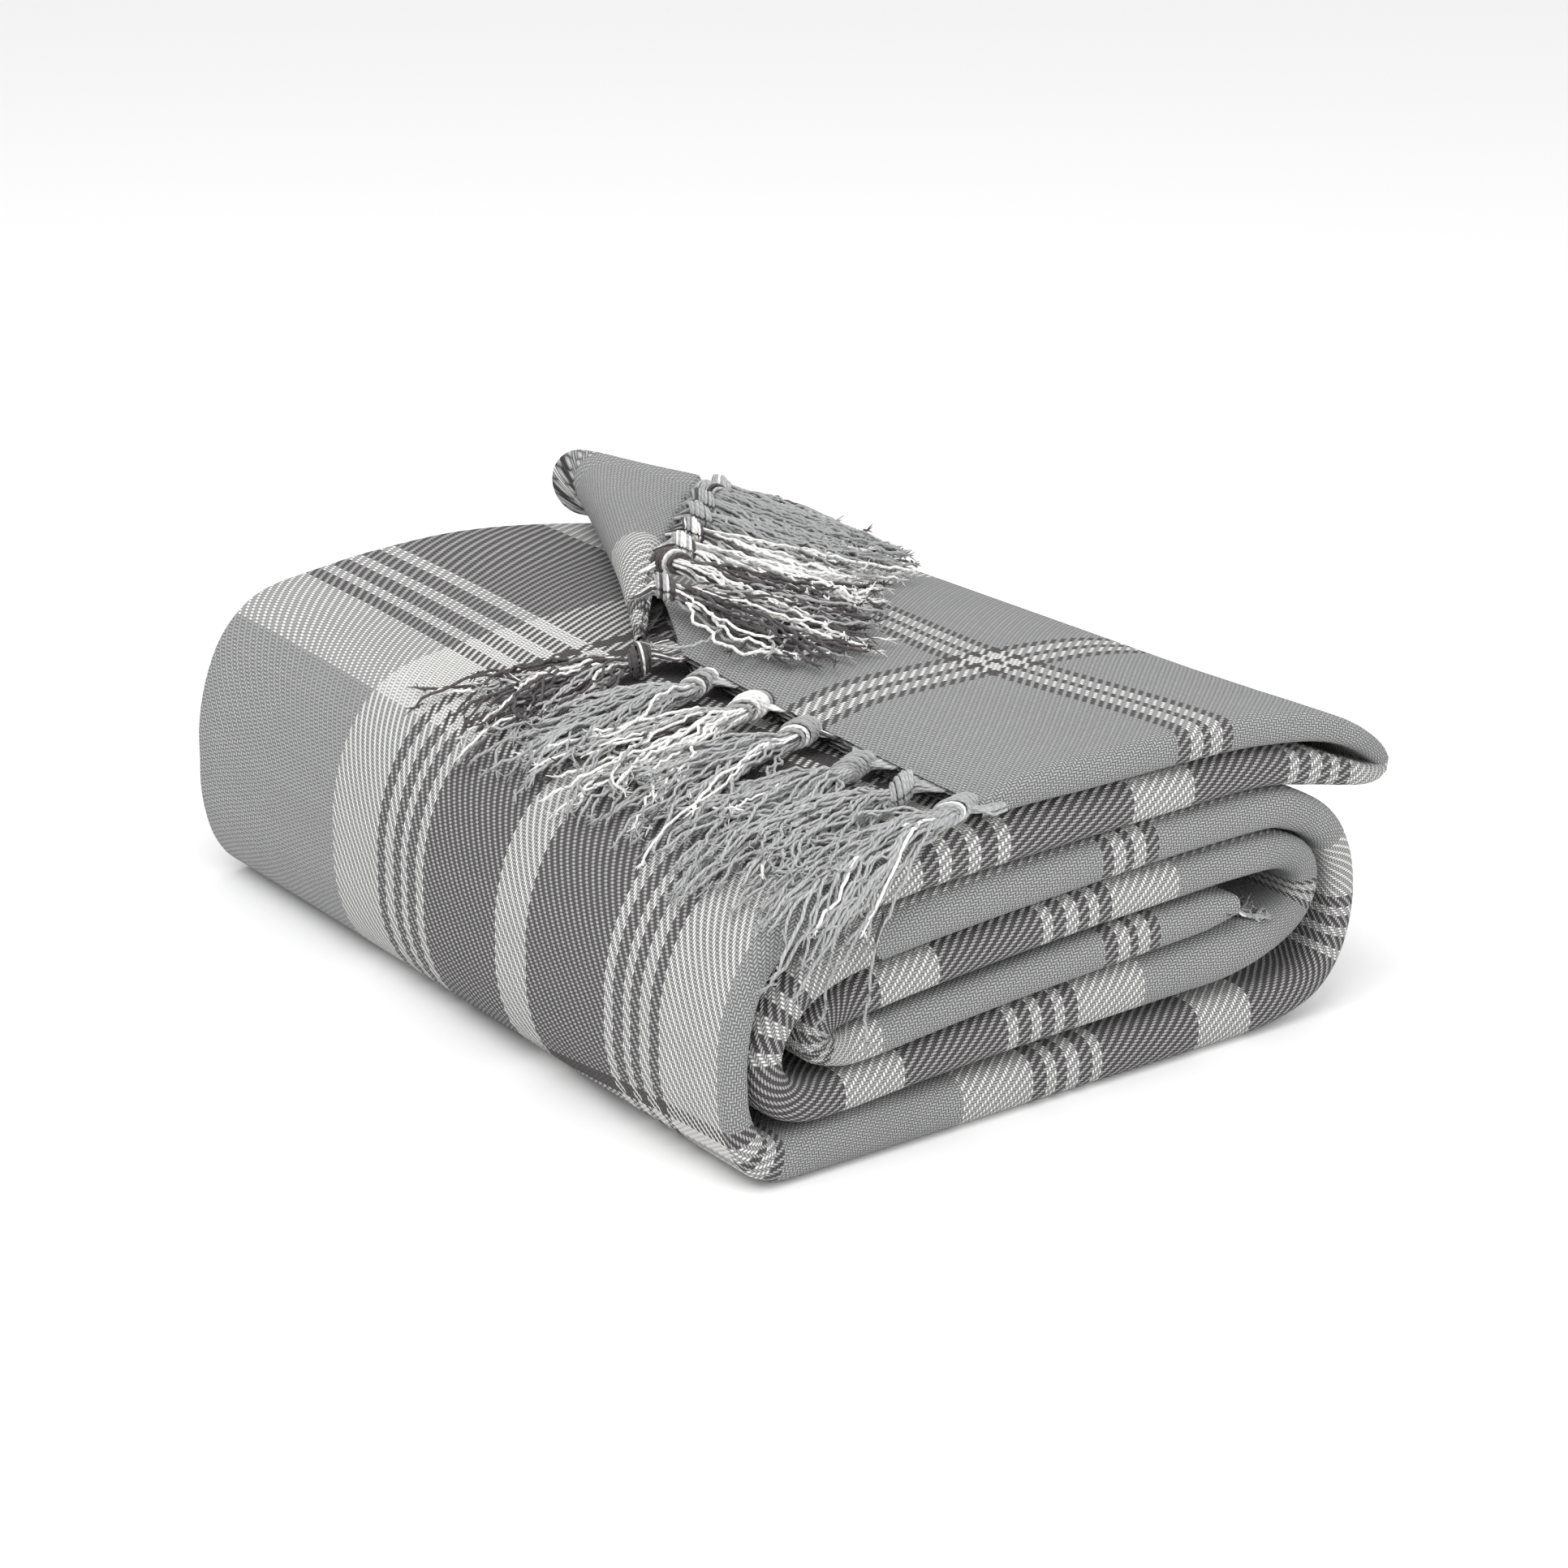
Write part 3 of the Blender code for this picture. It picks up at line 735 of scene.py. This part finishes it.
def knot_tubes(rng, mix, where, knot_at):
    """Yarns wound slantwise round the bundle, as in an overhand knot."""
    rings = []
    turn = np.linspace(0, 2 * math.pi, 25)
    slant = rng.choice([-1, 1]) * rng.uniform(1.4, 3.6)
    plump = rng.uniform(0.86, 1.1)
    for k in range(9):
        step = (k - 4) * 0.86
        size = plump * (3.9 - 0.07 * (k - 4) ** 2) + rng.uniform(-0.35, 0.35)
        d = knot_at + step + slant * np.cos(turn) + rng.uniform(-0.6, 0.6)
        across = size * 1.1 * np.cos(turn)
        up = 3.4 + size * np.sin(turn)
        rings.append((where(d, across, np.maximum(up, 0.2)), np.full(25, 0.66),
                      pick_tone(rng, mix)))
    return rings


# %% [markdown]
# The near fringe falls from the flap's edge on to the layer below and follows it down the
# outside of the roll. The turned-back corner throws its tassels the other way, over the flap.

# %% The near fringe
NEAR_TASSELS = [(5, 0, -3, "yarn_grey"), (28, 0, -3, "yarn_grey"), (51, 0, -2, "yarn_grey"),
                (80, 0, 2, "yarn_grey"), (106, 0, 4, "yarn_white"), (133, 0, -2, "yarn_grey"),
                (160, 2, 8, "yarn_dark")]
NEAR_START = float(np.interp(-75.0, -PATH[TAGS == 2][:, 0], ARC[TAGS == 2]))
FLAP_LIP = 9.0                # how far the flap's edge stands over the layer below it


def on_wrap(y0, begin, lean, length):
    def where(d, across, up):
        s = NEAR_START + begin + d
        x, z, nx, nz, half = strip_xz(s)
        lip = (FLAP_LIP - 4.0) * (1 - ease(4, 24, d + begin * 0.6))
        h = half + 1.0 + up + lip
        y = y0 + lean * d / length + across
        over = np.maximum(0.0, -1.0 - y)
        y = np.maximum(y, -1.0) - 4.5 * np.tanh(over / 6.0)
        drop = 1.2 * np.maximum(0.0, over - 2.5)
        return place(x + nx * h, y, z + nz * h - drop, 0.0) / MM
    return where


for NUMBER, (Y, BEGIN, LEAN, MIX) in enumerate(NEAR_TASSELS, 1):
    RNG = np.random.default_rng(SEED + NUMBER)
    TUBES = tassel_tubes(RNG, MIX, on_wrap(Y, BEGIN, LEAN, 74.0), 84.0, 14.0, 16.0, 8.5,
                         side_by_side=6.0)
    TASSEL = yarn_mesh("yarns_near_%02d" % NUMBER, TUBES)
    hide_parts("fringe_near_%02d" % NUMBER)
    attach(TASSEL, "flap")

# %% The fringe of the turned-back corner
TURNED_TASSELS = [(4, "yarn_dark"), (26, "yarn_dark"), (46, "yarn_white"), (67, "yarn_white"),
                  (90, "yarn_grey"), (112, "yarn_grey"), (133, "yarn_grey"),
                  (152, "yarn_grey")]
TURNED_LEAN = np.array([0.45, -0.89]) / math.hypot(0.45, 0.89)
APEX = CREASE_A + CREASE_ALONG * CORNER_APEX + CREASE_ACROSS * CORNER_REACH
TURNED_EDGE = (APEX - CREASE_A) / np.linalg.norm(APEX - CREASE_A)
TURNED_OUT = np.array([TURNED_EDGE[1], -TURNED_EDGE[0]])


def on_flap(t, length):
    side = np.array([-TURNED_LEAN[1], TURNED_LEAN[0]])
    foot = CREASE_A + TURNED_EDGE * t + TURNED_OUT * 1.0

    def where(d, across, up):
        x = foot[0] + TURNED_LEAN[0] * d + side[0] * across
        y = foot[1] + TURNED_LEAN[1] * d + side[1] * across
        lip = 5.5 * (1 - ease(6, 34, d))
        return place(x, y, flap_height(x) + 6.6 + lip + up, 1.0) / MM
    return where


for NUMBER, (T, MIX) in enumerate(TURNED_TASSELS, 1):
    RNG = np.random.default_rng(SEED + 40 + NUMBER)
    TUBES = tassel_tubes(RNG, MIX, on_flap(T, 74.0), 84.0, 8.0, 14.0, 8.0)
    TASSEL = yarn_mesh("yarns_turned_%02d" % NUMBER, TUBES)
    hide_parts("fringe_turned_%02d" % NUMBER)
    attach(TASSEL, "corner")

# %% The fringe at the inner end of the roll
INNER_TASSELS = 13


def inner_place(y0):
    def where(d, across, up):
        drop = 5.5 * ease(4, 17, d)
        return place(167.0 + d * 0.78, y0 + across, 46.4 - drop + (up - 3.0) * 0.55) / MM
    return where


for NUMBER in range(1, INNER_TASSELS + 1):
    RNG = np.random.default_rng(SEED + 80 + NUMBER)
    MIX = "yarn_grey"
    TUBES = tassel_tubes(RNG, MIX, inner_place(8 + 24.9 * (NUMBER - 1)), 25.0, 6.0, 11.0, 4.0,
                         count=24, edge=10.0)
    TASSEL = yarn_mesh("yarns_inner_%02d" % NUMBER, TUBES)
    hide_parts("fringe_inner_%02d" % NUMBER)
    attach(TASSEL, "stack")

# %% [markdown]
# A white studio set has a pale floor that melts into the background, a broad soft light above
# and to the left, and enough fill that no shadow is black.

# %% Floor and light
def add_floor():
    mesh = bpy.data.meshes.new("floor")
    size = 6.0
    mesh.from_pydata([(-size, -size, 0), (size, -size, 0), (size, size, 0), (-size, size, 0)],
                     [], [(0, 1, 2, 3)])
    paint = bpy.data.materials.new("pale_floor")
    paint.use_nodes = True
    shader = paint.node_tree.nodes["Principled BSDF"]
    shader.inputs["Base Color"].default_value = (0.93, 0.93, 0.93, 1.0)
    shader.inputs["Roughness"].default_value = 0.9
    shader.inputs["Specular IOR Level"].default_value = 0.1
    mesh.materials.append(paint)
    floor = bpy.data.objects.new("floor", mesh)
    bpy.context.collection.objects.link(floor)


def add_soft_light(name, place_at, size, watts):
    data = bpy.data.lights.new(name, "AREA")
    data.size = size
    data.energy = watts
    light = bpy.data.objects.new(name, data)
    bpy.context.collection.objects.link(light)
    light.location = place_at
    towards = Vector((0.0, 0.0, 0.05)) - Vector(place_at)
    light.rotation_euler = towards.to_track_quat("-Z", "Y").to_euler()


def add_world(strength):
    world = bpy.data.worlds.new("white_studio")
    world.use_nodes = True
    background = world.node_tree.nodes["Background"]
    background.inputs[0].default_value = (1.0, 1.0, 1.0, 1.0)
    background.inputs[1].default_value = strength
    bpy.context.scene.world = world
    bpy.context.scene.view_settings.view_transform = "Standard"


add_floor()
add_soft_light("key_top_left", (-0.9, -0.5, 1.7), 1.5, 23.0)
add_soft_light("fill_front", (0.5, -1.9, 1.0), 1.5, 10.0)
add_world(0.88)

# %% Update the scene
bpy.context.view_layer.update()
